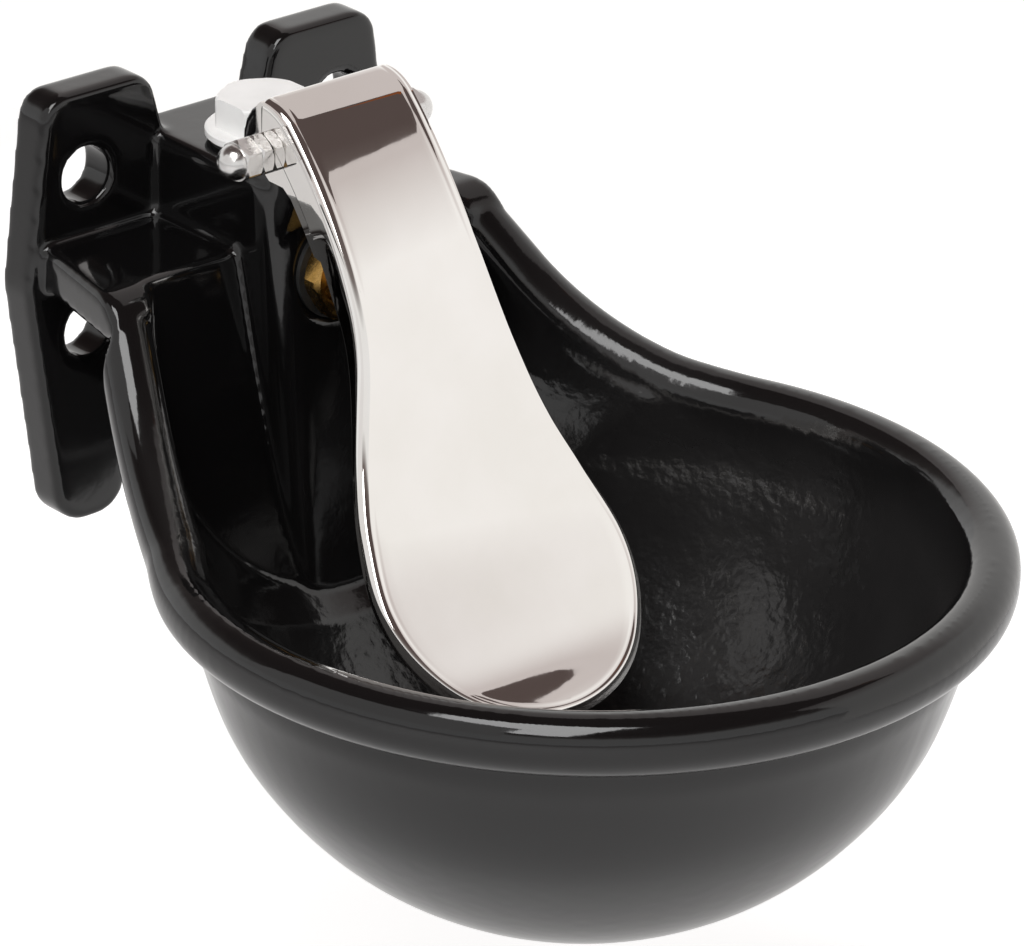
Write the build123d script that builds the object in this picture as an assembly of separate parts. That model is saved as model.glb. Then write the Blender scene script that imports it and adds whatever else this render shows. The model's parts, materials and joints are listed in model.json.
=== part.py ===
from build123d import *
import math
import os

# A wall-hung drinking bowl for livestock.  An animal pushes the tongue-shaped
# paddle with its nose, the paddle presses the valve stem, and water runs into
# the bowl.  Millimetres, +Z up, -Y towards the animal.  The origin is the
# middle of the four mounting holes, on the wall.

# ---- mounting flanges ----
hole_spacing_x = 81.0
hole_spacing_z = 42.0
hole_diameter = 15.0
flange_thickness = 11.5
ear_above_hole = 22.7      # from the upper holes to the top of the ears
ear_beyond_hole = 12.5     # from a hole to the outer side of its ear
ear_inside_hole = 20.5     # from a hole to the inner side of its ear
waist_beyond_hole = 19.0   # from a hole to the widest place of a flange
waist_z = -6.0
tail_below_hole = 52.5     # from the lower holes to the end of a tail
tail_radius = 9.8          # round end of a flange tail
ear_corner_radius = 7.5
waist_radius = 12.0
flange_root_x = 14.0       # inner edge of a flange, inside the housing
tail_root_x = 21.0         # inner edge of a flange under the shelf
flange_edge_radius = 1.8

# ---- bowl ----
rim_z = -36.0              # crest of the level part of the rim
crest_radius = 99.5        # plan radius of the crest of the rim
bowl_gap = 8.3             # from the back wall to the circle of that crest
bead_radius = 6.5          # round outer half of the rim bead
bead_height = 16.0
bead_foot_radius = 8.0     # rounding of the bead's lower edge
rim_shoulder = 8.0         # rounding from the crest to the inner wall
rim_flat = 0.2             # sliver of flat left between two roundings
wall = 5.0
bowl_depth = 93.0          # from where it begins to round in to the underside
neck_crest_x = 57.5        # half width between the crests at the back wall
neck_inset = 1.2           # a side of the neck passes this far inside the crest circle
neck_blend_radius = 38.0   # where the neck runs into the round bowl
neck_spring_z = -25.0      # the sides of the neck are upright above this
neck_floor_z = -82.0       # floor of the neck at the foot of the back wall
neck_floor_slope = 0.82    # fall of that floor towards the bowl
back_wall_y = -46.2        # inner face of the back wall at z = 0
back_wall_lean = 14.3      # degrees off the vertical

# ---- side line of the rim, from the level front up to the shelf ----
rise_head_y = -47.0        # the slope would meet the level of the shelf here
rise_radius = 76.0
rise_angle = 47.0
shelf_z = 5.3
shelf_round = 10.0
shelf_thickness = 12.0
shelf_beyond_hole = 14.5   # from a hole to the side of the shelf at the flange
shelf_edge_radius = 2.5
inside_corner_radius = 3.0

# ---- valve housing ----
housing_top = 27.0
housing_half_x = 19.0
housing_front_y = -61.2    # at z = 0
housing_front_lean = 4.9   # degrees, the foot stands further out
housing_corner_radius = 8.0
housing_edge_radius = 2.0
channel_y = -31.5          # axis of the upright water channel
channel_bore = 16.0
boss_radius = 17.0
boss_bottom = -52.0
port_thread_diameter = 20.955
port_thread_depth = 15.0

port_thread_fit = 0.03     # radial clearance of a plug or valve in its thread
press_fit = 0.02           # radial clearance of a piece that is pressed in

# ---- hinge ----
hinge_y = -55.8
hinge_z = 35.6
lug_radius = 12.2
lug_half_x = 17.0
lug_root_back = 4.0        # root of the lug below the housing's top, at the back
lug_root_front = 16.0      # and at the front
lug_under = 8.7            # its underside meets the barrel here, from the rod's axis
rod_diameter = 6.0
rod_in_dome = 2.15         # the rod reaches this far into a dome nut's crown
running_fit = 0.05         # radial clearance of a piece that turns or slides
washer_thickness = 1.6
washer_diameter = 12.0
face_gap = 0.1             # between faces that rub along the rod
nut_flats = 10.0
hexagon_turning = 1.12     # corners of a hexagon are turned off at this share of its flats
lock_nut_height = 3.5
dome_nut_hex_height = 4.9
dome_radius = 4.6

# ---- paddle, pressed from sheet; places in the side view are from the hinge ----
sheet = 1.5
paddle_top_radius = 14.2   # sheet bent round the hinge
paddle_top_arc = 45.0      # degrees of that bend, from straight above the rod
paddle_bends = [(-29.6, -14.5), (-42.4, -39.6), (-50.3, -63.6), (-63.7, -86.0),
                (-80.0, -103.6), (-92.5, -117.5)]
paddle_tip_way = (-0.62, -0.78)
paddle_straight_z = 12.0   # its sides run upright above this
paddle_half_middle = 28.4  # half width where the tongue begins
paddle_middle_z = -28.0
paddle_half_tongue = 36.0  # half width of the tongue at its widest
paddle_tongue_z = -57.5    # height of that place
paddle_tip_depth = 29.0    # from there down to the tip
paddle_skirt = 8.0         # turned-down edge, measured towards the wall
paddle_edge_radius = 2.4
paddle_back_reach = 2.4    # the ears reach this far behind the rod
ear_lower = [(-2.7, -6.4), (-8.1, -6.5), (-11.2, -8.7), (-15.9, -14.9), (-20.1, -21.0),
             (-24.0, -21.8)]

# ---- valve, on a level axis that runs towards the paddle ----
valve_z = 1.5
valve_seat_y = -59.8       # flat ring machined on the housing for the gasket
seat_ring = 2.9225         # width of that ring round the thread
gasket_thickness = 1.5
collar_over_thread = 1.045  # flats of the collar over the thread
collar_length = 6.0
collar_chamfer = 1.2
nose_diameter = 18.0
nose_length = 5.0
nose_bore = 10.0
shank_length = 16.5
rear_bore = 14.0
orifice_diameter = 8.0
lip_diameter = 10.0
lip_height = 2.0
lip_y = -56.0              # flat lip that the rubber disc closes on
chamber_bore = 18.6
bush_length = 6.0
stem_diameter = 5.0
stem_tail_diameter = 4.0
stem_collar_diameter = 7.0
stem_collar_length = 0.8
stem_head_diameter = 9.0
stem_head_length = 5.0
stem_lead = 1.26           # from the paddle's back, on the axis, to the stem's round end
stem_travel = 5.0
disc_diameter = 12.5
disc_thickness = 3.0
disc_washer_diameter = 11.0
disc_washer_thickness = 1.0
stem_nut_flats = 7.0
stem_nut_height = 3.2
spring_mean_diameter = 9.6
spring_wire = 0.8
spring_turns = 6
cage_wall = 1.1
cage_lip_diameter = 15.0
cage_floor_y = -38.6       # the spring stands on this floor
cage_floor = 1.6
cage_gap = 0.7             # between the cage and the disc when it is open

# ---- top plug and inlet strainer ----
plug_disc_over_seal = 3.0
plug_disc_thickness = 2.5
plug_flats = 22.0
plug_hex_height = 8.0
plug_top_radius = 1.2
plug_shank_length = 11.0
plug_seal_over_thread = 6.045
strainer_diameter = 14.0
strainer_length = 18.0
strainer_flange = 1.5
strainer_seat_diameter = 18.6
strainer_wall = 1.0
strainer_slots = 8
slot_share = 0.7           # length of a slot as a share of the cup

hole_x, hole_z = hole_spacing_x / 2, hole_spacing_z / 2
ear_top = hole_z + ear_above_hole
ear_outer_x = hole_x + ear_beyond_hole
ear_inner_x = hole_x - ear_inside_hole
waist_x = hole_x + waist_beyond_hole
tail_bottom = -hole_z - tail_below_hole
shelf_back_x = hole_x + shelf_beyond_hole
paddle_half_top = lug_half_x + face_gap * 2 + washer_thickness + sheet
rod_half_length = (paddle_half_top + face_gap * 1.5 + lock_nut_height
                   + dome_nut_hex_height + rod_in_dome)
spot_face_radius = port_thread_diameter / 2 + seat_ring
collar_flats = port_thread_diameter + collar_over_thread
plug_seal_outer = port_thread_diameter + plug_seal_over_thread
plug_disc_diameter = plug_seal_outer + plug_disc_over_seal
dome_z = rim_z - rim_shoulder         # where the bowl begins to round in
rise_tangent = math.tan(math.radians(rise_angle) / 2)
shelf_round_reach = shelf_round * rise_tangent * math.cos(math.radians(rise_angle))
bead_end_y = rise_head_y - shelf_round_reach - rim_flat * 3   # just past that rounding
bowl_reach = bowl_gap + crest_radius  # from the back wall to the bowl's middle
bowl_centre_y = back_wall_y - bowl_reach
neck_flare = math.atan2(bowl_reach, neck_crest_x) - math.acos(
    (crest_radius - neck_inset) / math.hypot(bowl_reach, neck_crest_x))
shelf_front_x = neck_crest_x + bead_radius - rim_flat
neck_back_y = -28.0                   # behind the back wall's cutting plane
inner_shift = -rim_shoulder           # crest line to the inner wall
wall_shift = wall - rim_shoulder      # crest line to the outer wall
dome_steps = 8                        # places that fix the dome's curve
beyond = 200.0                        # reach of the cutting solids
ear_inside_x = paddle_half_top - sheet
collar_back_y = valve_seat_y - gasket_thickness
nose_y = collar_back_y - collar_length - nose_length
shank_end_y = collar_back_y + shank_length
disc_y = lip_y + face_gap                         # front of the rubber disc at rest
washer_y = disc_y + disc_thickness
stem_nut_y = washer_y + disc_washer_thickness
cage_front_y = washer_y + stem_travel + cage_gap
bottom_seat_z = boss_bottom + port_thread_depth


def rim_line(shift, top, round_off):
    """Side line of the rim, lowered by shift, ending level at height top."""
    angle = math.radians(rise_angle)
    radius = rise_radius + shift
    level = rim_z - shift
    foot_y = rise_head_y - (shelf_z - rim_z) / math.tan(angle) + shift * rise_tangent
    head_y = foot_y + (top - level) / math.tan(angle)
    points = [(-beyond * 2, level), (foot_y, level), (head_y, top), (beyond, top)]
    return FilletPolyline(*points, radius=[radius, round_off])


def above_line(line):
    """Everything above a side line, right across the width."""
    closing = Polyline(line @ 1, (beyond, beyond), (-beyond * 2, beyond), line @ 0)
    face = make_face(line.edges() + closing.edges())
    return extrude(Plane.YZ * face, beyond, both=True)


def neck_half_x(y, shift):
    """Half width of the neck at y, moved out from the crest line by shift."""
    at_wall = neck_crest_x + shift / math.cos(neck_flare)
    return at_wall + (back_wall_y - y) * math.tan(neck_flare)


def neck_depth(y, shift):
    """Depth of the neck's floor below its spring line at y."""
    lean = math.tan(math.radians(back_wall_lean))
    foot_y = back_wall_y + neck_floor_z * lean
    return neck_spring_z - neck_floor_z + (foot_y - y) * neck_floor_slope + shift - inner_shift


def neck_front_y(shift):
    """Where the line of the neck's side passes nearest to the bowl's middle."""
    start_x = neck_half_x(bowl_centre_y, shift)
    return bowl_centre_y + start_x * math.cos(neck_flare) * math.sin(neck_flare)


def plan(shift):
    """Plan of the round bowl and its neck, moved out from the crest by shift."""
    corners = [(neck_half_x(y, shift), y) for y in (neck_back_y, neck_front_y(shift))]
    mirrored = [(-x, y) for x, y in reversed(corners)]
    neck = make_face(Polyline(*corners, *mirrored, close=True))
    outline = Pos(0, bowl_centre_y) * Circle(crest_radius + shift) + neck
    meetings = outline.vertices().sort_by(Axis.Y)[:2]
    return fillet(meetings, neck_blend_radius)


def dome(shift):
    """Lower half of the round bowl, out to the wall face at shift."""
    radius = crest_radius + shift
    depth = bowl_depth + shift - wall_shift
    arc = EllipticalCenterArc((0, dome_z), radius, depth, -90, arc_size=90)
    places = [step / dome_steps for step in range(dome_steps + 1)]
    curve = Spline(*[arc @ place for place in places], tangents=[(1, 0), (0, 1)])
    sides = Polyline(curve @ 1, (0, dome_z), curve @ 0)
    profile = Plane.XZ * make_face(curve.edges() + sides.edges())
    return Pos(0, bowl_centre_y, 0) * revolve(profile, Axis.Z, 360)


def trough(shift):
    """Lower half of the neck: a tapering trough of half elliptical section."""
    sections = []
    for y in (neck_back_y, neck_front_y(inner_shift)):
        half, depth = neck_half_x(y, shift), neck_depth(y, shift)
        arc = EllipticalCenterArc((0, neck_spring_z), half, depth, 180, arc_size=180)
        face = make_face(arc.edges() + Line(arc @ 1, arc @ 0).edges())
        sections.append(Plane.XZ.offset(-y) * face)
    return loft(sections, ruled=True)


def bowl_form(shift):
    """Bowl and neck as one form, open upwards, out to the face at shift."""
    upper = extrude(Pos(0, 0, neck_spring_z) * plan(shift), beyond)
    ring = Pos(0, bowl_centre_y, dome_z) * extrude(Circle(crest_radius + shift),
                                                    neck_spring_z - dome_z)
    form = dome(shift) + ring + trough(shift) + upper
    lean = math.radians(back_wall_lean)
    face_y = back_wall_y + (shift - inner_shift) / math.cos(lean)
    behind = Pos(0, face_y, 0) * Rot(-back_wall_lean, 0, 0) * Box(
        beyond * 2, beyond, beyond * 3, align=(Align.CENTER, Align.MIN, Align.CENTER))
    return form - behind


def upright(face, inside):
    """True for an upright side face; inside picks the ones that look inwards."""
    normal, middle = face.normal_at(), face.center()
    outwards = normal.X * middle.X + normal.Y * (middle.Y - bowl_centre_y)
    return abs(normal.Z) < 0.01 and normal.Y < 0.99 and (outwards < 0) == inside


def shared_edges(faces, others):
    """Edges that a face of one group has in common with one of the other."""
    edges = [edge for face in others for edge in face.edges()]
    return [edge for face in faces for edge in face.edges()
            if any(edge.is_same(other) for other in edges)]


def round_rim(solid, inside, upper, radius):
    """Round the upper or lower rim edges of the inner or outer side faces."""
    sides = [face for face in solid.faces() if upright(face, inside)]
    sign = 1 if upper else -1
    ends = [face for face in solid.faces() if face.normal_at().Z * sign > 0.5]
    return fillet(shared_edges(ends, sides), radius)


def rim_bead():
    """Rounded lip that follows the rim from shelf corner to shelf corner."""
    ribbon_floor = rim_line(bead_height, shelf_z - bead_height, 1)
    lip = extrude(Pos(0, 0, dome_z * 2) * (plan(bead_radius) - plan(inner_shift)), beyond)
    lip -= above_line(rim_line(0, shelf_z, shelf_round))
    lip &= above_line(ribbon_floor)
    lip -= Pos(0, bead_end_y, 0) * Box(beyond * 2, beyond, beyond * 2,
                                        align=(Align.CENTER, Align.MIN, Align.CENTER))
    lip = round_rim(lip, False, True, bead_radius - rim_flat)
    lip = round_rim(lip, False, False, bead_foot_radius)
    return round_rim(lip, True, True, rim_shoulder - rim_flat)


def shelf():
    """Level shelf between the flanges and the bowl, rounded off at its front."""
    back, front = -flange_thickness, bead_end_y - wall / 4
    outline = Polyline((shelf_back_x, 0), (shelf_back_x, back), (shelf_front_x, front),
                       (-shelf_front_x, front), (-shelf_back_x, back), (-shelf_back_x, 0),
                       close=True)
    plate = extrude(Pos(0, 0, shelf_z - shelf_thickness) * make_face(outline),
                    shelf_thickness * 2)
    plate -= above_line(rim_line(0, shelf_z, shelf_round))
    sides = [face for face in plate.faces() if abs(face.normal_at().X) > 0.5]
    ends = [face for face in plate.faces() if abs(face.normal_at().Z) > 0.5]
    return fillet(shared_edges(ends, sides), shelf_edge_radius)


def flange():
    """Right-hand mounting flange: an ear above the shelf and a tail below."""
    points = [(ear_inner_x, ear_top), (ear_outer_x, ear_top), (waist_x, waist_z),
              (hole_x + tail_radius, tail_bottom), (hole_x - tail_radius, tail_bottom),
              (tail_root_x, shelf_z - shelf_thickness),
              (flange_root_x, housing_top - housing_edge_radius * 3)]
    face = make_face(Polyline(*points, close=True))
    ear = face.vertices().sort_by(Axis.Y)[-2:]
    face = fillet(ear, ear_corner_radius)
    tail = face.vertices().sort_by(Axis.Y)[:2]
    face = fillet(tail, tail_radius - 0.8)
    waist = face.vertices().sort_by(Axis.X)[-1]
    face = fillet(waist, waist_radius)
    plate = extrude(Plane.XZ * face, flange_thickness)
    front = plate.faces().sort_by(Axis.Y)[0]
    return fillet(front.edges(), flange_edge_radius)


def housing():
    """Valve housing, from the wall through the shelf and down into the bowl."""
    lean = math.tan(math.radians(housing_front_lean))
    foot_z = neck_floor_z * 1.2
    top_y = housing_front_y + lean * housing_top
    foot_y = housing_front_y + lean * foot_z
    side = Polyline((0, housing_top), (top_y, housing_top), (foot_y, foot_z), (0, foot_z),
                    close=True)
    block = extrude(Plane.YZ * make_face(side), housing_half_x, both=True)
    upright_edges = block.edges().filter_by(lambda e: abs(e.tangent_at().Z) > 0.9)
    block = fillet(upright_edges.sort_by(Axis.Y)[:2], housing_corner_radius)
    return fillet(block.faces().sort_by(Axis.Z)[-1].edges().sort_by(Axis.Y)[:-1],
                  housing_edge_radius)


def below(z):
    """Everything below height z."""
    return Pos(0, 0, z) * Box(beyond * 2, beyond * 3, beyond * 2,
                              align=(Align.CENTER, Align.CENTER, Align.MAX))


def hinge_lug():
    """Rounded lug that carries the hinge rod on the front of the housing."""
    top_y = housing_front_y + math.tan(math.radians(housing_front_lean)) * housing_top
    barrel = Pos(0, hinge_y, hinge_z) * Rot(0, 90, 0) * Cylinder(lug_radius, lug_half_x * 2)
    root = Polyline((hinge_y + lug_radius, hinge_z),
                    (hinge_y + lug_radius, housing_top - lug_root_back),
                    (top_y + housing_edge_radius / 2, housing_top - lug_root_front),
                    (hinge_y - lug_under, hinge_z - lug_under), close=True)
    return barrel + extrude(Plane.YZ * make_face(root), lug_half_x, both=True)


def along_y(radius, front, back, z=valve_z):
    """Round bar on the valve's axis from y = front to y = back."""
    bar = Cylinder(radius, back - front, align=(Align.CENTER, Align.CENTER, Align.MIN))
    return Pos(0, back, z) * Rot(90, 0, 0) * bar


def along_x(radius, start, end):
    """Round bar on the hinge axis from x = start to x = end."""
    bar = Cylinder(radius, end - start, align=(Align.CENTER, Align.CENTER, Align.MIN))
    return Pos(start, hinge_y, hinge_z) * Rot(0, 90, 0) * bar


def channel_bar(radius, bottom, top):
    """Round bar on the axis of the upright water channel."""
    bar = Cylinder(radius, top - bottom, align=(Align.CENTER, Align.CENTER, Align.MIN))
    return Pos(0, channel_y, bottom) * bar


def hexagon(flats):
    return RegularPolygon(flats / 2, 6, major_radius=False)


def mounting_holes():
    hole = Rot(90, 0, 0) * Cylinder(hole_diameter / 2, flange_thickness * 3)
    return [Pos(x, 0, z) * hole for x in (-hole_x, hole_x) for z in (-hole_z, hole_z)]


def water_ways():
    """Upright channel with a threaded port at each end, and the valve's bore."""
    thread = port_thread_diameter / 2
    ways = channel_bar(channel_bore / 2, boss_bottom, housing_top)
    ways += channel_bar(thread, boss_bottom, bottom_seat_z)
    ways += channel_bar(strainer_seat_diameter / 2, bottom_seat_z,
                        bottom_seat_z + strainer_flange)
    ways += channel_bar(thread, housing_top - plug_shank_length - 1, housing_top)
    ways += along_y(thread, valve_seat_y - 1, shank_end_y + 1)
    ways += along_y(chamber_bore / 2, shank_end_y, channel_y)
    return ways


def spot_faces():
    """Flat rings for the valve's gasket and for the top plug."""
    front = along_y(spot_face_radius, valve_seat_y - wall * 3, valve_seat_y)
    top = channel_bar(plug_disc_diameter / 2 + face_gap * 4, housing_top, ear_top * 2)
    return front + top


def shelf_corners(casting):
    """The two inside corners where the shelf meets the sides of the housing."""
    places = [(edge, edge.center()) for edge in casting.edges().filter_by(Axis.Y)]
    return [edge for edge, middle in places if edge.length > flange_thickness
            and abs(middle.Z - shelf_z) < rim_flat
            and abs(abs(middle.X) - housing_half_x) < rim_flat]


def back_wall_top():
    """Room in which the back wall runs right up to the shelf."""
    return Pos(0, back_wall_y, shelf_z) * Box((neck_crest_x + inner_shift) * 2, wall * 6,
                                              shelf_thickness * 4)


def bowl_casting():
    """Bowl, shelf, flanges and valve housing, cast in one piece."""
    outer, cavity = bowl_form(wall_shift), bowl_form(inner_shift)
    wall_top = rim_line(rim_shoulder, shelf_z - rim_shoulder, 1)
    shell = outer - (above_line(wall_top) - back_wall_top()) - cavity
    shell -= above_line(rim_line(0, shelf_z, shelf_round))
    block = housing()
    boss_top = shelf_z - shelf_thickness / 2
    boss = channel_bar(boss_radius, boss_bottom, boss_top)
    boss += Pos(0, channel_y, boss_bottom) * Box(
        boss_radius * 2, boss_radius * 2, boss_top - boss_bottom,
        align=(Align.CENTER, Align.MAX, Align.MIN))
    casting = shell + rim_bead()
    for piece in (shelf() - cavity, boss - cavity, block & outer,
                  block - below(shelf_z - shelf_thickness),
                  flange(), mirror(flange(), Plane.YZ), hinge_lug()):
        casting += piece
    casting = fillet(shelf_corners(casting), inside_corner_radius)
    for cut in (*mounting_holes(), spot_faces(), water_ways()):
        casting -= cut
    return casting - along_x(rod_diameter / 2 + running_fit, -beyond, beyond)


def paddle_line(inset):
    """Side line of the paddle's face, set in towards the wall by inset."""
    bend = CenterArc((0, 0), paddle_top_radius, 90, paddle_top_arc)
    curve = Spline(bend @ 1, *paddle_bends, tangents=[bend % 1, paddle_tip_way])
    arc = CenterArc((0, 0), paddle_top_radius - inset, 90, paddle_top_arc)
    places = [step / len(paddle_bends) for step in range(1, len(paddle_bends) + 1)]
    points = [curve @ t + Vector(-(curve % t).Y, (curve % t).X) * inset for t in places]
    face_line = Spline(arc @ 1, *points, tangents=[arc % 1, curve % 1])
    tip = Line(face_line @ 1, face_line @ 1 + face_line % 1 * paddle_skirt * 2)
    return Wire([arc, face_line, tip])


def behind_line(line):
    """Everything between a side line and the wall, hung on the hinge."""
    closing = Polyline(line @ 1, (beyond, (line @ 1).Y), (beyond, (line @ 0).Y), line @ 0)
    face = make_face(line.edges() + closing.edges())
    return Pos(0, hinge_y, hinge_z) * extrude(Plane.YZ * face, beyond, both=True)


def paddle_outline(inset):
    """Front outline of the paddle, drawn in by inset, as a solid along Y."""
    half_top = paddle_half_top - inset
    top = Line((half_top, ear_top * 2), (half_top, paddle_straight_z))
    side = Spline(top @ 1, (paddle_half_middle - inset, paddle_middle_z),
                  (paddle_half_tongue - inset, paddle_tongue_z),
                  tangents=[(0, -1), (0, -1)])
    tongue = EllipticalCenterArc((0, paddle_tongue_z), paddle_half_tongue - inset,
                                 paddle_tip_depth - inset, -90, arc_size=90)
    half = top.edges() + side.edges() + tongue.edges()
    middle = Line(tongue @ 0, (0, ear_top * 2))
    across = Line((0, ear_top * 2), top @ 0)
    face = make_face(half + middle.edges() + across.edges())
    return extrude(Plane.XZ * (face + mirror(face, Plane.YZ)), beyond * 2, both=True)


def ears():
    """The two ears on the rod, drawn in side view and cut to the paddle's face."""
    back = paddle_back_reach
    points = [(0, paddle_top_radius), (back, paddle_top_radius - back), (back, -back),
              *ear_lower, (-paddle_half_tongue, ear_lower[-1][1]),
              (-paddle_half_tongue, paddle_top_radius)]
    face = Plane.YZ * make_face(Polyline(*points, close=True))
    ear = Pos(ear_inside_x, hinge_y, hinge_z) * extrude(face, sheet)
    return (ear + mirror(ear, Plane.YZ)) & behind_line(paddle_line(sheet / 2))


def paddle():
    """Pressed tongue with turned-down edges and two ears on the rod."""
    face_line = paddle_line(0)
    behind_hinge = Pos(0, hinge_y, 0) * Box(beyond * 2, beyond * 2, beyond * 2,
                                            align=(Align.CENTER, Align.MIN, Align.CENTER))
    form = (behind_line(face_line) - behind_hinge) & paddle_outline(0)
    fronts = [face for face in form.faces() if face.normal_at().Y < -0.1]
    sides = [face for face in form.faces() if abs(face.normal_at().Y) < 0.01]
    form = fillet(shared_edges(fronts, sides), paddle_edge_radius)
    form -= Pos(0, paddle_skirt, 0) * behind_line(face_line)
    hollow = behind_line(paddle_line(sheet)) & paddle_outline(sheet)
    bore = along_x(rod_diameter / 2 + running_fit, -beyond, beyond)
    return form - hollow + ears() - bore


def on_rod(solid_at_left):
    """The same piece for the left-hand and the right-hand end of the rod."""
    return {"left": solid_at_left, "right": mirror(solid_at_left, Plane.YZ)}


def hinge_rod():
    rod = along_x(rod_diameter / 2, -rod_half_length, rod_half_length)
    return chamfer(rod.edges(), rod_diameter / 12)


def rod_nut(flats, start, height):
    """Hexagon nut on the left-hand end of the rod, corners turned off."""
    blank = Pos(start - height, hinge_y, hinge_z) * Rot(0, 90, 0) * extrude(
        hexagon(flats), height)
    turned = along_x(flats / 2 * hexagon_turning, start - height, start)
    turned = chamfer(turned.edges().filter_by(GeomType.CIRCLE), flats / 16)
    return blank & turned


def lock_nut():
    start = -paddle_half_top - face_gap
    return rod_nut(nut_flats, start, lock_nut_height) - rod_bore()


def dome_nut():
    start = -paddle_half_top - face_gap * 1.5 - lock_nut_height
    crown_x = start - dome_nut_hex_height
    crown = Pos(crown_x, hinge_y, hinge_z) * Sphere(dome_radius)
    crown &= along_x(nut_flats, crown_x - nut_flats, crown_x + 1)
    return rod_nut(nut_flats, start, dome_nut_hex_height) + crown - rod_bore()


def rod_bore():
    """Thread of a nut on the rod; it ends just past the rod's end."""
    end = rod_half_length + face_gap
    return along_x(rod_diameter / 2 + press_fit, -end, 0)


def hinge_washer():
    """Washer between the lug and an ear of the paddle."""
    start = -lug_half_x - face_gap
    washer = along_x(washer_diameter / 2, start - washer_thickness, start)
    return washer - along_x(rod_diameter / 2 + running_fit, -beyond, beyond)


def valve_body():
    """Brass valve body: hexagon collar, nose with the guide, threaded shank."""
    collar = Pos(0, collar_back_y, valve_z) * Rot(90, 0, 0) * extrude(
        hexagon(collar_flats), collar_length)
    turned = along_y(collar_flats / 2 * hexagon_turning, collar_back_y - collar_length,
                     collar_back_y)
    collar &= chamfer(turned.edges().filter_by(GeomType.CIRCLE), collar_chamfer)
    nose = along_y(nose_diameter / 2, nose_y, collar_back_y)
    nose = chamfer(nose.edges().filter_by(GeomType.CIRCLE).sort_by(Axis.Y)[0], 1)
    shank = along_y(port_thread_diameter / 2 - port_thread_fit, collar_back_y, shank_end_y)
    throat_y = lip_y - lip_height
    body = collar + nose + shank
    body -= along_y(nose_bore / 2, nose_y, throat_y - lip_height)
    body -= along_y(orifice_diameter / 2, nose_y, lip_y)
    body -= along_y(rear_bore / 2, throat_y, shank_end_y)
    lip = along_y(lip_diameter / 2, throat_y, lip_y) - along_y(
        orifice_diameter / 2, throat_y, lip_y)
    return body + lip


def valve_gasket():
    ring = along_y(spot_face_radius - running_fit * 8, collar_back_y, valve_seat_y)
    return ring - along_y(port_thread_diameter / 2 + face_gap, collar_back_y, valve_seat_y)


def guide_bush():
    """Bush that guides the stem in the nose; water runs out by its notches."""
    back_y = nose_y + bush_length
    bush = along_y(nose_bore / 2 - press_fit, nose_y, back_y)
    bush -= along_y(stem_diameter / 2 + running_fit, nose_y, back_y)
    notch = Pos(0, (nose_y + back_y) / 2, valve_z) * Box(
        stem_diameter / 3, bush_length, nose_bore / 2 - press_fit - stem_diameter / 2 - wall / 6,
        align=(Align.CENTER, Align.CENTER, Align.MIN))
    notch = Pos(0, 0, stem_diameter / 2 + wall / 6) * notch
    for turn in (0, 120, 240):
        bush -= Pos(0, 0, valve_z) * Rot(0, turn, 0) * Pos(0, 0, -valve_z) * notch
    return bush


def paddle_back_y():
    """Where the valve's axis meets the back of the paddle at rest."""
    line = along_y(running_fit, -beyond, 0) & behind_line(paddle_line(sheet))
    return line.bounding_box().min.Y


def valve_stem():
    """Stem with a rounded head at the paddle and a shoulder for the disc."""
    stem_tip_y = paddle_back_y() + stem_lead
    head = along_y(stem_head_diameter / 2, stem_tip_y, stem_tip_y + stem_head_length)
    tip = head.edges().filter_by(GeomType.CIRCLE).sort_by(Axis.Y)[0]
    head = fillet(tip, stem_head_length * 0.6)
    collar_y = disc_y - stem_collar_length
    stem = head + along_y(stem_diameter / 2, stem_tip_y + stem_head_length, collar_y)
    stem += along_y(stem_collar_diameter / 2, collar_y, disc_y)
    stem += along_y(stem_tail_diameter / 2, disc_y, stem_nut_y + stem_nut_height + 1)
    return stem


def on_stem_tail(solid):
    """A piece with the hole that the threaded tail of the stem goes through."""
    return solid - along_y(stem_tail_diameter / 2 + press_fit, -beyond, 0)


def valve_disc():
    return on_stem_tail(along_y(disc_diameter / 2, disc_y, washer_y))


def disc_washer():
    return on_stem_tail(along_y(disc_washer_diameter / 2, washer_y, stem_nut_y))


def stem_nut():
    nut = Pos(0, stem_nut_y + stem_nut_height, valve_z) * Rot(90, 0, 0) * extrude(
        hexagon(stem_nut_flats), stem_nut_height)
    return on_stem_tail(nut)


def valve_spring():
    """Closing spring, from the disc's washer to the floor of the cage."""
    length = cage_floor_y - stem_nut_y - spring_wire - face_gap * 2
    coil = Helix(length / spring_turns, length, spring_mean_diameter / 2)
    wire = Plane(coil @ 0, z_dir=coil % 0) * Circle(spring_wire / 2)
    spring = sweep(wire, coil, is_frenet=True)
    start_y = cage_floor_y - face_gap - spring_wire / 2
    return Pos(0, start_y, valve_z) * Rot(90, 0, 0) * spring


def spring_cage():
    """Cage pressed into the back of the valve body; the spring stands in it."""
    inner = rear_bore / 2 - press_fit - cage_wall
    cage = along_y(rear_bore / 2 - press_fit, cage_front_y, shank_end_y)
    cage += along_y(cage_lip_diameter / 2, shank_end_y, cage_floor_y + cage_floor)
    cage -= along_y(inner, cage_front_y, cage_floor_y)
    cage -= along_y(stem_diameter / 2, cage_floor_y, cage_floor_y + cage_floor)
    window = Pos(0, (shank_end_y + 1 + cage_floor_y) / 2, valve_z) * Box(
        cage_lip_diameter * 2, cage_floor_y - shank_end_y - 1, inner * 0.7)
    for turn in (0, 90):
        cage -= Pos(0, 0, valve_z) * Rot(0, turn, 0) * Pos(0, 0, -valve_z) * window
    return cage


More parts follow.
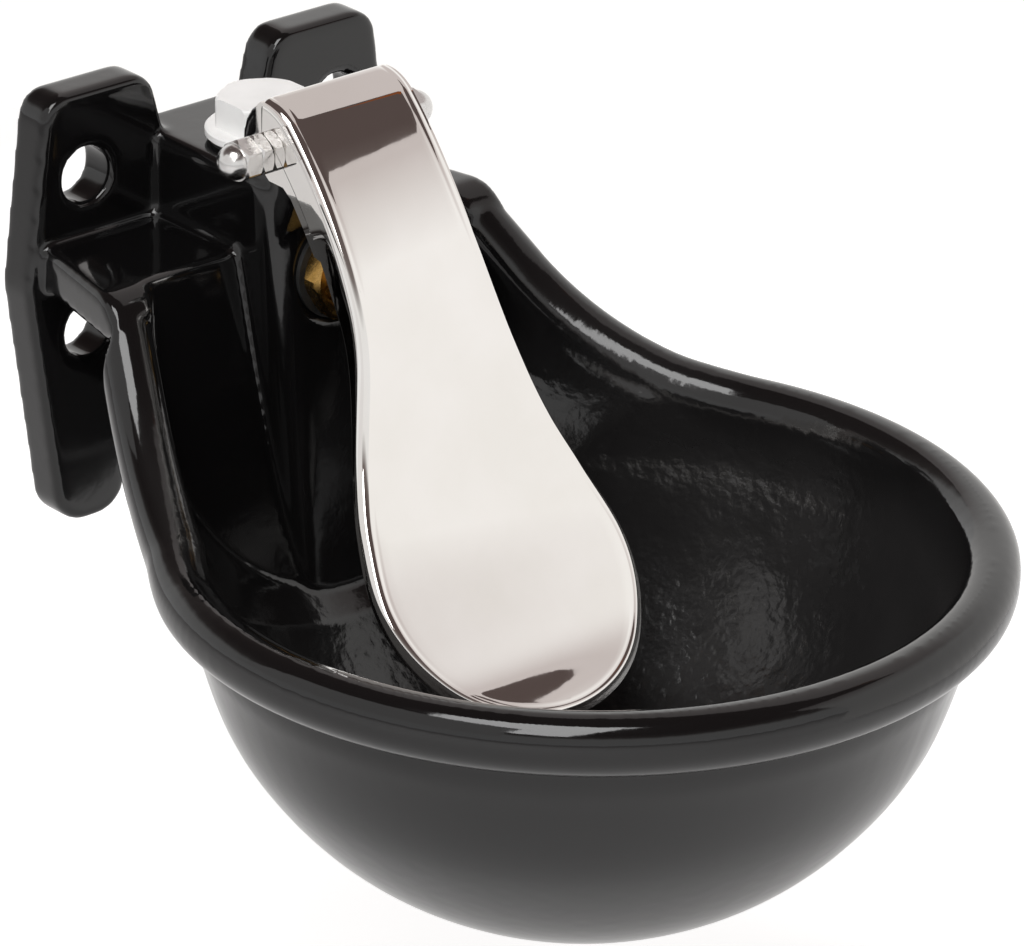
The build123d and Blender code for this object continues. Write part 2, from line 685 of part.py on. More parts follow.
def top_plug():
    """Plastic plug in the upper port: hexagon, sealing disc, threaded shank."""
    disc_z = housing_top + gasket_thickness
    hex_z = disc_z + plug_disc_thickness
    disc = channel_bar(plug_disc_diameter / 2, disc_z, hex_z)
    disc = chamfer(disc.edges().filter_by(GeomType.CIRCLE), 0.5)
    head = Pos(0, channel_y, hex_z) * extrude(Rot(0, 0, 30) * hexagon(plug_flats),
                                              plug_hex_height)
    turned = channel_bar(plug_flats / 2 * hexagon_turning, disc_z, hex_z + plug_hex_height)
    head &= fillet(turned.edges().filter_by(GeomType.CIRCLE).sort_by(Axis.Z)[-1],
                   plug_top_radius)
    shank = channel_bar(port_thread_diameter / 2 - port_thread_fit,
                        housing_top - plug_shank_length, disc_z)
    hollow = channel_bar(channel_bore / 2, housing_top - plug_shank_length, disc_z)
    return disc + head + shank - hollow


def plug_gasket():
    ring = channel_bar(plug_seal_outer / 2, housing_top, housing_top + gasket_thickness)
    return ring - channel_bar(port_thread_diameter / 2 + face_gap, housing_top,
                              housing_top + gasket_thickness)


def inlet_strainer():
    """Slotted strainer cup, its flange in the seat above the lower thread."""
    outer, inner = strainer_diameter / 2, strainer_diameter / 2 - strainer_wall
    flange_top = bottom_seat_z + strainer_flange
    top_z = bottom_seat_z + strainer_length
    cup = channel_bar(outer, bottom_seat_z, top_z)
    cup += channel_bar(strainer_seat_diameter / 2 - press_fit, bottom_seat_z, flange_top)
    cup -= channel_bar(inner, bottom_seat_z, top_z - strainer_wall)
    slot_height = (strainer_length - strainer_flange) * slot_share
    slot = Box(strainer_diameter, strainer_wall * 1.5, slot_height)
    for step in range(strainer_slots // 2):
        cup -= Pos(0, channel_y, (flange_top + top_z) / 2) * Rot(
            0, 0, step * 360 / strainer_slots) * slot
    return cup


def all_pieces():
    """Every piece by the name of its node."""
    pieces = {"bowl_casting": bowl_casting(), "paddle": paddle(), "hinge_rod": hinge_rod()}
    for name, piece in (("lock_nut", lock_nut()), ("dome_nut", dome_nut()),
                        ("hinge_washer", hinge_washer())):
        for side, solid in on_rod(piece).items():
            pieces[f"{name}_{side}"] = solid
    for make in (valve_body, valve_gasket, guide_bush, valve_stem, valve_disc, disc_washer,
                 stem_nut, valve_spring, spring_cage, top_plug, plug_gasket, inlet_strainer):
        pieces[make.__name__] = make()
    return pieces


os.makedirs("parts", exist_ok=True)
for node, solid in all_pieces().items():
    export_step(solid, f"parts/{node}.step")
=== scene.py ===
# %% [markdown]
# # A cast drinking bowl for livestock
#
# The bowl hangs on a wall. An animal pushes the polished tongue with its nose, the tongue
# presses the stem of a brass valve, and water runs into the bowl. The construction comes in
# as a fixed frame of finished pieces, so this lesson is about surfaces: glass enamel over
# sand-cast iron, mirror-polished sheet, bright nuts, brass, rubber and moulded plastic.

# %% Load the frame
import json
import math
import bmesh
import bpy
from mathutils import Matrix, Vector


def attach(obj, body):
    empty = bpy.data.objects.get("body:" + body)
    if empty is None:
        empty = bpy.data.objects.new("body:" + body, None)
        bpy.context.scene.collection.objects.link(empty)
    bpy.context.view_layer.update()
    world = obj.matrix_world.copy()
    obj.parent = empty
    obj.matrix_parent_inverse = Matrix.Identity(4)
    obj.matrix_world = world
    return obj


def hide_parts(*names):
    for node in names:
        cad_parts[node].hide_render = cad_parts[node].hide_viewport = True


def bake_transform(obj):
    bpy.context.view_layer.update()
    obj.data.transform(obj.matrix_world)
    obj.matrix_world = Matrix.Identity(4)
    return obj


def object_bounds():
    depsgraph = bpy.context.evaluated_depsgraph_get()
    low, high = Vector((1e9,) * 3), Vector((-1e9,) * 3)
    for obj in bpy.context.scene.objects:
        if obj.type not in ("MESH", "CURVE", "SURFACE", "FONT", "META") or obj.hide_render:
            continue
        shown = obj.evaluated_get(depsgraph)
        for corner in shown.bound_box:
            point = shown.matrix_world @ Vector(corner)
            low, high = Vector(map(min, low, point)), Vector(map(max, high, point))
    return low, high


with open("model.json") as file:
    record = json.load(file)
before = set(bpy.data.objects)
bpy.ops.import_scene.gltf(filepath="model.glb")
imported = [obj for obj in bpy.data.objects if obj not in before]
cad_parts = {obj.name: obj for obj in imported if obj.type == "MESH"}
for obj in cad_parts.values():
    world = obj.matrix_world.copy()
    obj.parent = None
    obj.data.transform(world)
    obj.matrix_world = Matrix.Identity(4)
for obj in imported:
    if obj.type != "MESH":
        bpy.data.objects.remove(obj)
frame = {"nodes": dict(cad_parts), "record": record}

cad_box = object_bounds()
nodes = frame["nodes"]
print(len(nodes), "pieces:", ", ".join(sorted(nodes)))

# %% [markdown]
# ## The camera
#
# A long lens from well back keeps the bowl's ellipses honest, as a product photographer
# would have it. The camera is set by the direction it looks from, the point it looks at and
# its distance. A matrix built from those three needs no constraint and can't drift.

# %% Set up the camera
image_width = 1024
focal_pixels = 6000
camera_azimuth = math.radians(-41.538)
camera_elevation = math.radians(24.887)
camera_roll = math.radians(0.912)
camera_target = Vector((0.024367, -0.100, -0.048328))
camera_distance = 1.508894


def camera_axes():
    """Right, up and back directions of the camera, with its small roll."""
    back = Vector((math.sin(camera_azimuth) * math.cos(camera_elevation),
                   -math.cos(camera_azimuth) * math.cos(camera_elevation),
                   math.sin(camera_elevation)))
    level = Vector((math.cos(camera_azimuth), math.sin(camera_azimuth), 0))
    upright = back.cross(level)
    turn, lean = math.cos(camera_roll), math.sin(camera_roll)
    return level * turn + upright * lean, upright * turn - level * lean, back


def add_camera():
    right, up, back = camera_axes()
    lens = bpy.data.cameras.new("camera")
    lens.sensor_width = 36
    lens.lens = focal_pixels / image_width * lens.sensor_width
    lens.clip_end = 20
    camera = bpy.data.objects.new("camera", lens)
    bpy.context.scene.collection.objects.link(camera)
    place = camera_target + back * camera_distance
    camera.matrix_world = Matrix((right, up, back)).transposed().to_4x4()
    camera.location = place
    bpy.context.scene.camera = camera
    return camera


camera = add_camera()
print("lens", round(camera.data.lens, 1), "mm")

# %% [markdown]
# ## Node helpers
#
# Every finish below is a small tree of nodes. Three helpers keep each tree readable: one
# starts a material, one adds a node with its settings, and one adds noise in the object's
# own space, so that grain stays on the piece when it moves.

# %% Helpers for materials
def start_material(name):
    """An empty material with its output and its surface shader."""
    material = bpy.data.materials.new(name)
    material.use_nodes = True
    tree = material.node_tree
    tree.nodes.clear()
    output = tree.nodes.new("ShaderNodeOutputMaterial")
    shader = tree.nodes.new("ShaderNodeBsdfPrincipled")
    tree.links.new(shader.outputs[0], output.inputs["Surface"])
    return material, tree, shader


def add_noise(tree, scale, detail=2.0, roughness=0.5):
    """Noise in the object's own space; scale is in features per metre."""
    place = tree.nodes.new("ShaderNodeTexCoord")
    grain = tree.nodes.new("ShaderNodeTexNoise")
    grain.inputs["Scale"].default_value = scale
    grain.inputs["Detail"].default_value = detail
    grain.inputs["Roughness"].default_value = roughness
    tree.links.new(place.outputs["Object"], grain.inputs["Vector"])
    return grain.outputs[0]


def spread(tree, value, low, high, start=0.3, end=0.7):
    """Stretches a noise value to run from low to high."""
    stretch = tree.nodes.new("ShaderNodeMapRange")
    stretch.inputs["From Min"].default_value = start
    stretch.inputs["From Max"].default_value = end
    stretch.inputs["To Min"].default_value = low
    stretch.inputs["To Max"].default_value = high
    tree.links.new(value, stretch.inputs["Value"])
    return stretch.outputs[0]


def two_tone(tree, value, first, second):
    """Mixes two colours by a value from 0 to 1."""
    mix = tree.nodes.new("ShaderNodeMix")
    mix.data_type = "RGBA"
    mix.inputs["A"].default_value = (*first, 1)
    mix.inputs["B"].default_value = (*second, 1)
    tree.links.new(value, mix.inputs["Factor"])
    return mix.outputs["Result"]


def add_bump(tree, shader, height, distance, strength=1.0):
    """Turns a height value into relief on the shader; distance is in metres."""
    bump = tree.nodes.new("ShaderNodeBump")
    bump.inputs["Distance"].default_value = distance
    bump.inputs["Strength"].default_value = strength
    tree.links.new(height, bump.inputs["Height"])
    tree.links.new(bump.outputs[0], shader.inputs["Normal"])
    return bump


# %% [markdown]
# ## Glass enamel
#
# The iron is cast in sand, then dipped in glass and fired. On the outside the glass lies
# smooth. Inside the bowl it ran and dried unevenly, which leaves an orange peel that is a
# little duller. There the base colour is also painted paler, which is a painted sheen. One
# glossy material serves both: relief, painted sheen and gloss follow one value that is
# stored at each point of the casting, further down. The relief has a coarse and a fine
# part, since a fine one alone breaks the highlights into glitter.

# %% Make the enamel
def stored_value(tree, name):
    """A value that is stored at the points of a mesh."""
    stored = tree.nodes.new("ShaderNodeAttribute")
    stored.attribute_name = name
    return stored.outputs["Fac"]


def calculate(tree, operation, first, second):
    """Adds or multiplies two values, or a value and a plain number."""
    sum_node = tree.nodes.new("ShaderNodeMath")
    sum_node.operation = operation
    for socket, value in zip(sum_node.inputs, (first, second)):
        if isinstance(value, (int, float)):
            socket.default_value = value
        else:
            tree.links.new(value, socket)
    return sum_node.outputs[0]


def enamel():
    material, tree, shader = start_material("black_glass_enamel")
    peel_and_sheen = stored_value(tree, "peel_and_sheen")
    cloud = add_noise(tree, 30, 3)
    # Paler base colour inside the bowl, varied by a random cloud: a painted sheen.
    painted_sheen_inside = calculate(tree, "MULTIPLY", peel_and_sheen, spread(tree, cloud, 0.7, 1.2))
    tone = two_tone(tree, painted_sheen_inside, (0.003, 0.0028, 0.0030), (0.026, 0.025, 0.025))
    tree.links.new(tone, shader.inputs["Base Color"])
    gloss = spread(tree, add_noise(tree, 90, 4), 0.05, 0.10)
    tree.links.new(calculate(tree, "ADD", gloss, calculate(tree, "MULTIPLY", peel_and_sheen, 0.14)),
                   shader.inputs["Roughness"])
    shader.inputs["IOR"].default_value = 1.52
    coarse = spread(tree, add_noise(tree, 170, 2, 0.5), 0, 0.75)
    fine = calculate(tree, "MULTIPLY", spread(tree, add_noise(tree, 420, 2), 0, 1), 0.35)
    grain = calculate(tree, "MULTIPLY", calculate(tree, "ADD", coarse, fine), peel_and_sheen)
    flow = calculate(tree, "MULTIPLY", spread(tree, add_noise(tree, 45, 1), 0, 1), 0.15)
    add_bump(tree, shader, calculate(tree, "ADD", grain, flow), 0.00022)
    return material


black_enamel = enamel()
print("made", black_enamel.name)

# %% [markdown]
# ## Metals
#
# The tongue is polished until it mirrors, so nearly all of its look is what it reflects. It
# still has faint polishing clouds and a trace of bump. The nuts are the same steel with a
# turned surface, and the brass is machined and slightly dulled by water.

# %% Make the metals
def metal(name, first, second, smooth, rough, grain_scale, relief):
    """A metal whose colour and roughness drift a little over its surface."""
    material, tree, shader = start_material(name)
    shader.inputs["Metallic"].default_value = 1.0
    cloud = add_noise(tree, grain_scale, 4)
    tree.links.new(two_tone(tree, spread(tree, cloud, 0, 1), first, second),
                   shader.inputs["Base Color"])
    tree.links.new(spread(tree, add_noise(tree, grain_scale * 2.3, 3), smooth, rough),
                   shader.inputs["Roughness"])
    add_bump(tree, shader, add_noise(tree, grain_scale * 6, 2), relief)
    return material


polished_stainless = metal("polished_stainless", (0.80, 0.78, 0.75), (0.84, 0.82, 0.80),
                           0.02, 0.05, 40, 0.000004)
bright_steel = metal("bright_steel", (0.62, 0.61, 0.60), (0.72, 0.71, 0.70),
                     0.16, 0.28, 300, 0.00001)
brass = metal("machined_brass", (0.42, 0.24, 0.06), (0.58, 0.36, 0.12),
              0.18, 0.34, 250, 0.00002)
print("made", polished_stainless.name, bright_steel.name, brass.name)

# %% [markdown]
# ## Rubber and plastic
#
# The plug and the small valve cages are white moulded plastic, a little soft in its shine.
# The seals are black rubber, dull and slightly dusty.

# %% Make the rubber and the plastic
def moulded(name, first, second, smooth, rough, relief):
    """A moulded material with a fine surface grain."""
    material, tree, shader = start_material(name)
    tree.links.new(two_tone(tree, spread(tree, add_noise(tree, 120, 3), 0, 1), first, second),
                   shader.inputs["Base Color"])
    tree.links.new(spread(tree, add_noise(tree, 260, 3), smooth, rough),
                   shader.inputs["Roughness"])
    add_bump(tree, shader, add_noise(tree, 1500, 2), relief)
    return material


white_plastic = moulded("white_plastic", (0.90, 0.90, 0.89), (0.95, 0.95, 0.94),
                        0.28, 0.40, 0.00001)
black_rubber = moulded("black_rubber", (0.012, 0.012, 0.012), (0.03, 0.03, 0.03),
                       0.55, 0.75, 0.00003)
finishes = {"black_enamel": black_enamel, "polished_stainless": polished_stainless,
            "bright_steel": bright_steel, "brass": brass, "black_rubber": black_rubber,
            "white_plastic": white_plastic}


def dress(piece, material):
    """Gives the whole piece one material."""
    piece.data.materials.clear()
    piece.data.materials.append(material)


for part in frame["record"]["subparts"]:
    dress(nodes[part["node"]], finishes[part["material_slot"]])

# %% [markdown]
# ## The casting
#
# Sand casting and enamel leave no crease: every inside corner carries a soft fillet. The
# construction mesh has the right walls but knife-sharp inside corners. Rounding each by hand
# would be slow, so a copy is remeshed into even little squares and then relaxed. Relaxing
# fills the inside corners and softens the outside ones by the same small radius.

# %% Remesh and relax the casting
voxel = 0.0010
even_rounds = 10          # takes the stairs out of the little squares
relax_rounds = 9
bowl_axis_y = -0.154      # upright axis of the round bowl
rim_height = -0.036       # level part of its rim
peel_and_sheen_start_y, peel_and_sheen_fade = -0.058, 0.060   # it fades in from the back wall forwards
peel_and_sheen_depth = 0.020        # the peel and the painted sheen fade in over this depth below the rim


def apply_modifiers(piece):
    """Bakes the modifiers of a piece into its mesh."""
    graph = bpy.context.evaluated_depsgraph_get()
    baked = bpy.data.meshes.new_from_object(piece.evaluated_get(graph))
    piece.modifiers.clear()
    piece.data = baked


def copy_of(node, name):
    """A free copy of a node's mesh, as a new piece."""
    piece = bpy.data.objects.new(name, nodes[node].data.copy())
    bpy.context.scene.collection.objects.link(piece)
    return piece


def smooth_all(piece):
    for face in piece.data.polygons:
        face.use_smooth = True


def soft_casting():
    casting = copy_of("bowl_casting", "enamelled_casting")
    weld = casting.modifiers.new("weld", "WELD")
    weld.merge_threshold = 0.00001
    apply_modifiers(casting)
    remesh = casting.modifiers.new("remesh", "REMESH")
    remesh.mode = "VOXEL"
    remesh.voxel_size = voxel
    even = casting.modifiers.new("even", "SMOOTH")
    even.factor = 0.5
    even.iterations = even_rounds
    snap = casting.modifiers.new("snap", "SHRINKWRAP")
    snap.target = nodes["bowl_casting"]
    relax = casting.modifiers.new("relax", "SMOOTH")
    relax.factor = 0.5
    relax.iterations = relax_rounds
    apply_modifiers(casting)
    smooth_all(casting)
    dress(casting, black_enamel)
    return casting


def clamp(value):
    return max(0.0, min(1.0, value))


def peel_and_sheen_at(place, normal):
    """How rough the enamel is and how pale its painted sheen: full in the bowl, faint
    elsewhere.
    """
    to_axis = Vector((-place.x, min(bowl_axis_y - place.y, 0) if place.y > bowl_axis_y
                      else bowl_axis_y - place.y, 0)).normalized()
    faces_in = clamp(normal.dot(to_axis) * 2 + max(normal.z, 0))
    depth = clamp((rim_height + max(place.y + 0.118, 0) * 0.7 - place.z) / peel_and_sheen_depth)
    in_bowl = faces_in * depth * clamp((peel_and_sheen_start_y - place.y) / peel_and_sheen_fade)
    return 0.05 + 0.75 * in_bowl


def store_peel_and_sheen(piece):
    store = piece.data.attributes.new("peel_and_sheen", "FLOAT", "POINT")
    values = [peel_and_sheen_at(point.co, point.normal) for point in piece.data.vertices]
    store.data.foreach_set("value", values)
    return sum(values) / len(values)


casting = soft_casting()
print("mean peel", round(store_peel_and_sheen(casting), 3))
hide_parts("bowl_casting")
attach(casting, "bowl")
print("casting", len(casting.data.polygons), "faces")

# %% [markdown]
# ## The closing spring
#
# The spring stands between the cage and the disc's washer. On the real valve one end stays
# with the bowl, the other rides on the stem, and the coils close up between them. Here the
# spring is a free copy of the frame's piece with its place baked into its points, and it
# stays as it is.

# %% Copy the spring
spring = copy_of("valve_spring", "closing_spring")
spring_middle = sum((point.co for point in spring.data.vertices), Vector())
spring_middle /= len(spring.data.vertices)
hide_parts("valve_spring")
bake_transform(spring)

# %% [markdown]
# ## The tongue
#
# Polished sheet shows every fault of its mesh, so the tongue is laid out afresh in even
# rows. Its side line is written as the lean of the sheet at a few distances from the top,
# which is what decides where each place mirrors. Its outline is a list of half widths that
# ends in half an ellipse. The edge is rolled over, with a shallow groove inside it, and
# runs on into the turned-down skirt. Both are larger near the tip than on the frame's
# tongue, so this piece and the frame disagree there by up to four millimetres.

# %% Lay out the tongue
hinge_y, hinge_z = -0.0558, 0.0356
bend_radius, bend_length = 0.0142, 0.01115
leans = [(bend_length, 45), (0.020, 41), (0.030, 37.2), (0.040, 33.4), (0.050, 30),
         (0.060, 26), (0.070, 20.5), (0.080, 17), (0.090, 18.7), (0.100, 25),
         (0.110, 32), (0.120, 37), (0.130, 40.5), (0.142, 42), (0.152, 43.5),
         (0.160, 51), (0.167, 50.5), (0.174, 42), (0.180, 39)]
half_widths = [(0.0, 0.0205), (0.036, 0.0206), (0.060, 0.0219), (0.073, 0.0238),
               (0.086, 0.0272), (0.0997, 0.0314), (0.1135, 0.0358), (0.133, 0.0396)]
tip_length = 0.0395        # from the widest place down to the tip
row_step = 0.0005
rows_round_tip = 60
columns = 28
edge_radius = 0.0026       # the edge is rolled over by this radius
roll_steps = 12
hem = 0.0002               # a narrow strip that keeps the lower edge crisp
groove = [(0.0018, 0.0), (0.0012, -0.00003), (0.0008, -0.00009), (0.0004, -0.00007)]
skirt_depths = [(0.0, 0.0090), (0.050, 0.0086), (0.072, 0.0060), (0.090, 0.0040),
                (0.118, 0.0036), (0.180, 0.0036)]
dent_x, dent_distance = -0.010, 0.1580     # a shallow dent near the tip
dent_width, dent_length, dent_depth = 0.020, 0.0060, 0.00010
sheet_thickness = 0.0014
join_distance = 0.00002


def smooth_through(points, place):
    """A smooth curve through a list of (place, value) pairs, level at both ends."""
    last = len(points) - 1
    index = max(i for i in range(last) if points[i][0] <= place or i == 0)

    def slope(i):
        if i in (0, last):
            return 0.0
        before, after = points[i - 1], points[i + 1]
        return (after[1] - before[1]) / (after[0] - before[0])

    (start, low), (end, high) = points[index], points[index + 1]
    span = end - start
    t = min(max((place - start) / span, 0.0), 1.0)
    return (low * (1 + 2 * t) * (1 - t) ** 2 + slope(index) * span * t * (1 - t) ** 2
            + high * t * t * (3 - 2 * t) + slope(index + 1) * span * t * t * (t - 1))


def lean_at(distance):
    """Lean of the sheet in radians; 90 degrees is level, 0 is upright."""
    if distance < bend_length:
        return math.radians(90 - 45 * distance / bend_length)
    return math.radians(smooth_through(leans, distance))


def side_line():
    """Places down the side line at small steps, by adding up the leans."""
    step = 0.0002
    places = [(hinge_y, hinge_z + bend_radius)]
    for count in range(int(0.185 / step)):
        lean = lean_at((count + 0.5) * step)
        y, z = places[-1]
        places.append((y - math.sin(lean) * step, z - math.cos(lean) * step))
    return places, step


side_places, side_step = side_line()


def sheet_point(x, distance, height):
    """A point of the tongue: across, down the side line, and off its face."""
    index = min(max(distance / side_step, 0), len(side_places) - 2)
    low = int(index)
    part = index - low
    y = side_places[low][0] * (1 - part) + side_places[low + 1][0] * part
    z = side_places[low][1] * (1 - part) + side_places[low + 1][1] * part
    lean = lean_at(distance)
    spread_out = ((x - dent_x) / dent_width) ** 2 + (
        (distance - dent_distance) / dent_length) ** 2
    height -= dent_depth * math.exp(-spread_out)
    return Vector((x, y - math.cos(lean) * height, z + math.sin(lean) * height))


def outline_rows():
    """Right-hand outline from the top to the tip, with its inward direction."""
    rows = []
    widest, width = half_widths[-1]
    for count in range(int(widest / row_step)):
        distance = count * row_step
        x = smooth_through(half_widths, distance)
        slope = (smooth_through(half_widths, distance + row_step) - x) / row_step
        rows.append((Vector((x, distance)), Vector((-1, slope)).normalized()))
    for count in range(rows_round_tip + 1):
        turn = math.pi / 2 * count / rows_round_tip
        place = Vector((width * math.cos(turn), widest + tip_length * math.sin(turn)))
        inward = Vector((-tip_length * math.cos(turn), -width * math.sin(turn)))
        rows.append((place, inward.normalized()))
    return rows


def section(place, inward):
    """Points from the skirt's edge over the rolled edge to the face, on the right."""
    depth = smooth_through(skirt_depths, place.y)
    wall = depth - edge_radius - hem
    profile = [(0.0, -depth)]
    profile += [(0.0, -depth + hem + wall * step / 3) for step in range(3)]
    for step in range(roll_steps + 1):
        turn = math.pi / 2 * (1 - step / roll_steps)
        profile.append((edge_radius * (1 - math.sin(turn)),
                        -edge_radius * (1 - math.cos(turn))))
    profile += [(edge_radius + inset, height) for inset, height in reversed(groove)]
    points = []
    for inset, height in profile:
        spot = place + inward * inset
        points.append(sheet_point(spot.x, spot.y, height))
    return points


def tongue_mesh():
    """Rows of points straight across the tongue, joined to faces."""
    points, faces = [], []
    for place, inward in outline_rows():
        right = section(place, inward)
        spot = place + inward * (edge_radius + groove[0][0])
        across = [sheet_point(spot.x * (1 - 2 * k / columns), spot.y, 0)
                  for k in range(1, columns)]
        left = [Vector((-point.x, point.y, point.z)) for point in reversed(right)]
        row = right + across + left
        width = len(row)
        first = len(points)
        points.extend(row)
        if first:
            faces.extend((first + k, first + k + 1, first - width + k + 1, first - width + k)
                         for k in range(width - 1))
    mesh = bpy.data.meshes.new("tongue")
    mesh.from_pydata(points, [], faces)
    mesh.validate()
    return mesh


def pressed_tongue():
    tongue = bpy.data.objects.new("pressed_tongue", tongue_mesh())
    bpy.context.scene.collection.objects.link(tongue)
    join = tongue.modifiers.new("join", "WELD")
    join.merge_threshold = join_distance
    solid = tongue.modifiers.new("thickness", "SOLIDIFY")
    solid.thickness = sheet_thickness
    solid.offset = 1
    apply_modifiers(tongue)
    smooth_all(tongue)
    dress(tongue, polished_stainless)
    return tongue


tongue = pressed_tongue()
print("tongue", len(tongue.data.polygons), "faces")

# %% [markdown]
# The two ears that hang on the rod are good as they come, so they are cut out of the
# finished tongue of the frame. Its mesh has long triangles that cross the cut, so it is
# first divided along the planes of the cut, and what lies between and below them goes.

# %% Keep the ears
ear_inside_x = 0.01875
ear_foot_z = 0.0100


def tongue_ears():
    ears = copy_of("paddle", "tongue_ears")
    work = bmesh.new()
    work.from_mesh(ears.data)
    for x in (-ear_inside_x, ear_inside_x):
        everything = work.verts[:] + work.edges[:] + work.faces[:]
        bmesh.ops.bisect_plane(work, geom=everything, plane_co=(x, 0, 0), plane_no=(1, 0, 0))
    everything = work.verts[:] + work.edges[:] + work.faces[:]
    bmesh.ops.bisect_plane(work, geom=everything, plane_co=(0, 0, ear_foot_z),
                           plane_no=(0, 0, 1), clear_inner=True)
    between = [face for face in work.faces
               if abs(face.calc_center_median().x) < ear_inside_x]
    bmesh.ops.delete(work, geom=between, context="FACES")
    work.to_mesh(ears.data)
    work.free()
    dress(ears, polished_stainless)
    return ears


ears = tongue_ears()
for piece in (tongue, ears):
    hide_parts("paddle")
    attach(piece, "paddle")
print("ears", len(ears.data.polygons), "faces")

# %% [markdown]
# ## Floor and light
#
# Black gloss shows only what it mirrors, so the studio is part of the finish. A white floor
# lights the underside of the bowl; the camera sees it brighter than the bowl does. A white
# wall at the right front gives the polished tongue its white, another at the right rear
# lights its top, and a greyer one at the left lights its edge. Between the first two, dark
# ceiling shows as the dark patch on the bend, and a small warm card tints it. Two soft
# boxes draw the highlights.
#
# The walls are solid and nearer than a camera that goes round the bowl: they suit this
# camera only, and they hide the bowl from the left and from behind.

# %% Build the studio
floor_drop = 0.10
floor_z = cad_box[0][2] - floor_drop
wall_fade_start, wall_fade_end = 0.22, 0.38
wall_low_colour, wall_top_colour = (1.05, 1.03, 1.01), (0.66, 0.60, 0.585)
floor_half, floor_glow, floor_paint, floor_seen_glow = 6.0, 0.30, 0.7, 0.30
wall_foot = -0.2
front_wall_far, front_wall_near = 0.62, 0.52
rear_wall_distance, rear_wall_top = 0.60, 0.90
left_wall_distance, left_wall_foot, left_wall_top, left_wall_glow = 0.75, 0.12, 0.80, 0.85
card_distance, card_glow = 0.50, 0.22
key_power, side_power = 18, 5


def glowing(name, colour, strength, paint=0.0, seen_glow=0.0):
    """A plain surface that glows, with a share of white paint that takes shadow.

    The camera sees it brighter by seen_glow, which lifts a pale background to white.
    """
    material = bpy.data.materials.new(name)
    material.use_nodes = True
    tree = material.node_tree
    tree.nodes.clear()
    output = tree.nodes.new("ShaderNodeOutputMaterial")
    diffuse = tree.nodes.new("ShaderNodeBsdfDiffuse")
    diffuse.inputs["Color"].default_value = (paint, paint, paint, 1)
    glow = tree.nodes.new("ShaderNodeEmission")
    glow.inputs["Color"].default_value = (*colour, 1)
    glow.inputs["Strength"].default_value = strength
    if seen_glow:
        path = tree.nodes.new("ShaderNodeLightPath")
        lift = calculate(tree, "MULTIPLY", path.outputs["Is Camera Ray"], seen_glow)
        tree.links.new(calculate(tree, "ADD", lift, strength), glow.inputs["Strength"])
    both = tree.nodes.new("ShaderNodeAddShader")
    tree.links.new(diffuse.outputs[0], both.inputs[0])
    tree.links.new(glow.outputs[0], both.inputs[1])
    tree.links.new(both.outputs[0], output.inputs["Surface"])
    return material


def wall_paint():
    """Glows white below and dimmer towards the top."""
    material, tree, shader = start_material("studio_wall")
    tree.nodes.remove(shader)
    output = next(node for node in tree.nodes if node.type == "OUTPUT_MATERIAL")
    place = tree.nodes.new("ShaderNodeTexCoord")
    split = tree.nodes.new("ShaderNodeSeparateXYZ")
    tree.links.new(place.outputs["Object"], split.inputs[0])
    fade = spread(tree, split.outputs["Z"], 0, 1, wall_fade_start, wall_fade_end)
    tone = two_tone(tree, fade, wall_low_colour, wall_top_colour)
    glow = tree.nodes.new("ShaderNodeEmission")
    tree.links.new(tone, glow.inputs["Color"])
    tree.links.new(glow.outputs[0], output.inputs["Surface"])
    return material


def stage_panel(name, corners, material):
    """A flat four-cornered panel of the studio."""
    mesh = bpy.data.meshes.new(name)
    mesh.from_pydata([Vector(corner) for corner in corners], [], [(0, 1, 2, 3)])
    panel = bpy.data.objects.new(name, mesh)
    bpy.context.scene.collection.objects.link(panel)
    dress(panel, material)
    return panel


def heading(azimuth, distance, height):
    """A place by its heading from the front, its distance and its height."""
    turn = math.radians(azimuth)
    return (math.sin(turn) * distance, -math.cos(turn) * distance, height)


def white_floor():
    """A white floor that stays white in view and still takes the shadow."""
    half = floor_half
    corners = [(-half, -half, floor_z), (half, -half, floor_z), (half, half, floor_z),
               (-half, half, floor_z)]
    return stage_panel("studio_floor", corners,
                       glowing("white_floor", (1, 1, 1), floor_glow, paint=floor_paint,
                               seen_glow=floor_seen_glow))


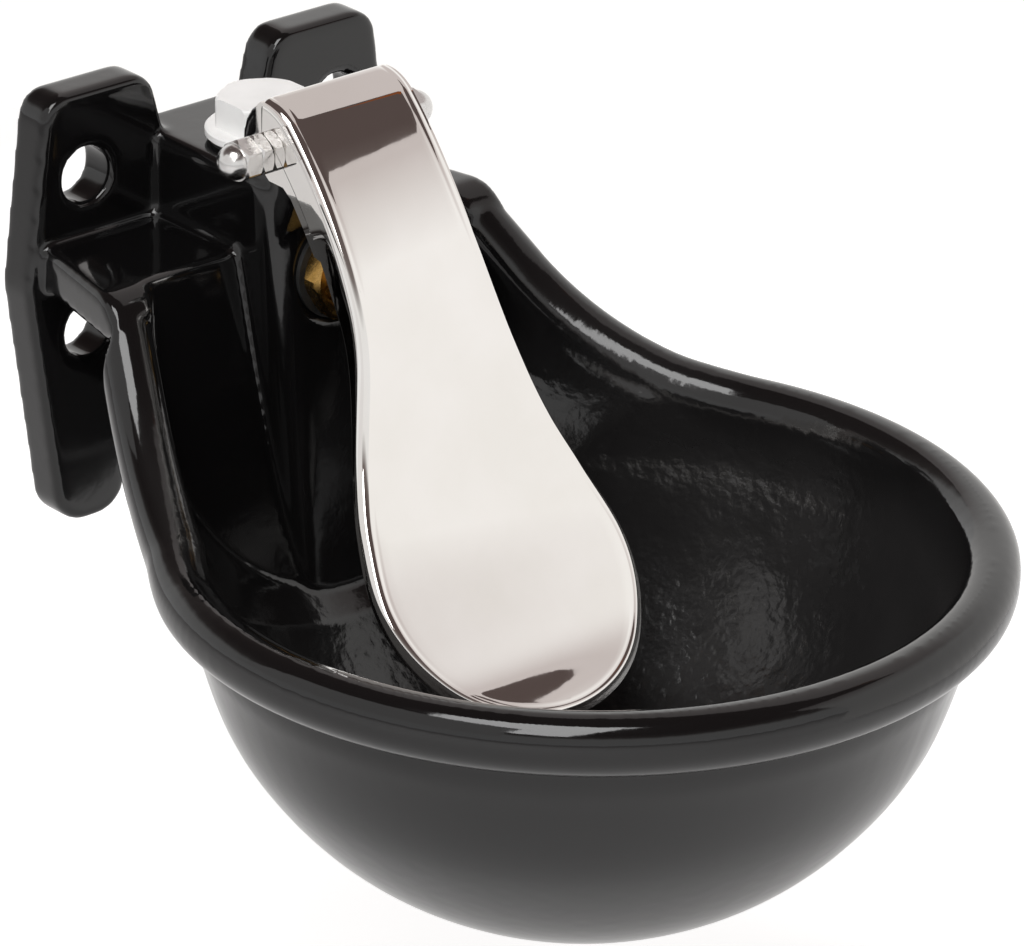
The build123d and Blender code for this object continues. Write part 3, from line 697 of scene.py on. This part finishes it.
def studio_world():
    """Pale round the horizon, dark and warm overhead."""
    world = bpy.data.worlds.new("studio")
    bpy.context.scene.world = world
    world.use_nodes = True
    tree = world.node_tree
    tree.nodes.clear()
    output = tree.nodes.new("ShaderNodeOutputWorld")
    sky = tree.nodes.new("ShaderNodeBackground")
    place = tree.nodes.new("ShaderNodeTexCoord")
    split = tree.nodes.new("ShaderNodeSeparateXYZ")
    ramp = tree.nodes.new("ShaderNodeValToRGB")
    bands = [(0.0, (0.95, 0.95, 0.95)), (0.40, (0.92, 0.91, 0.90)),
             (0.52, (0.20, 0.17, 0.16)), (0.66, (0.10, 0.075, 0.07))]
    ramp.color_ramp.elements[0].position = bands[0][0]
    ramp.color_ramp.elements[0].color = (*bands[0][1], 1)
    ramp.color_ramp.elements[1].position = bands[-1][0]
    ramp.color_ramp.elements[1].color = (*bands[-1][1], 1)
    for height, colour in bands[1:-1]:
        step = ramp.color_ramp.elements.new(height)
        step.color = (*colour, 1)
    tree.links.new(place.outputs["Generated"], split.inputs[0])
    tree.links.new(split.outputs["Z"], ramp.inputs[0])
    tree.links.new(ramp.outputs[0], sky.inputs["Color"])
    sky.inputs["Strength"].default_value = 1.0
    tree.links.new(sky.outputs[0], output.inputs["Surface"])
    return world


def soft_box(name, place, aim, width, height, power):
    """A rectangular lamp at a place, turned to face a point."""
    lamp = bpy.data.lights.new(name, "AREA")
    lamp.shape = "RECTANGLE"
    lamp.size = width
    lamp.size_y = height
    lamp.energy = power
    box = bpy.data.objects.new(name, lamp)
    bpy.context.scene.collection.objects.link(box)
    box.location = place
    box.rotation_euler = (Vector(aim) - Vector(place)).to_track_quat("-Z", "Y").to_euler()
    return box


white_floor()
studio_world()
front_wall = [heading(15, front_wall_far, wall_foot), heading(66, front_wall_near, wall_foot),
              heading(66, front_wall_near, 0.395), heading(15, front_wall_far, 0.42)]
rear_wall = [heading(60, rear_wall_distance, wall_foot),
             heading(150, rear_wall_distance, wall_foot),
             heading(150, rear_wall_distance, rear_wall_top),
             heading(60, rear_wall_distance, rear_wall_top)]
wall_white = wall_paint()
stage_panel("front_wall", front_wall, wall_white)
stage_panel("rear_wall", rear_wall, wall_white)
left_wall = [heading(-50, left_wall_distance, left_wall_foot),
             heading(-125, left_wall_distance, left_wall_foot),
             heading(-125, left_wall_distance, left_wall_top),
             heading(-50, left_wall_distance, left_wall_top)]
stage_panel("left_wall", left_wall, glowing("grey_wall", (1.0, 0.98, 0.97), left_wall_glow))
warm_card = [heading(55, card_distance, 0.49), heading(60, card_distance, 0.48),
             heading(60, card_distance, 0.55), heading(55, card_distance, 0.56)]
stage_panel("warm_card", warm_card, glowing("warm_card", (1.0, 0.30, 0.10), card_glow))
middle = (0, -0.13, -0.05)
soft_box("key_box", (-0.7, -0.5, 1.1), middle, 0.8, 1.1, key_power)
soft_box("side_box", (1.0, -0.1, 0.9), middle, 0.35, 0.8, side_power)
bpy.context.scene.view_settings.view_transform = "Standard"
print("floor at", round(floor_z, 3))
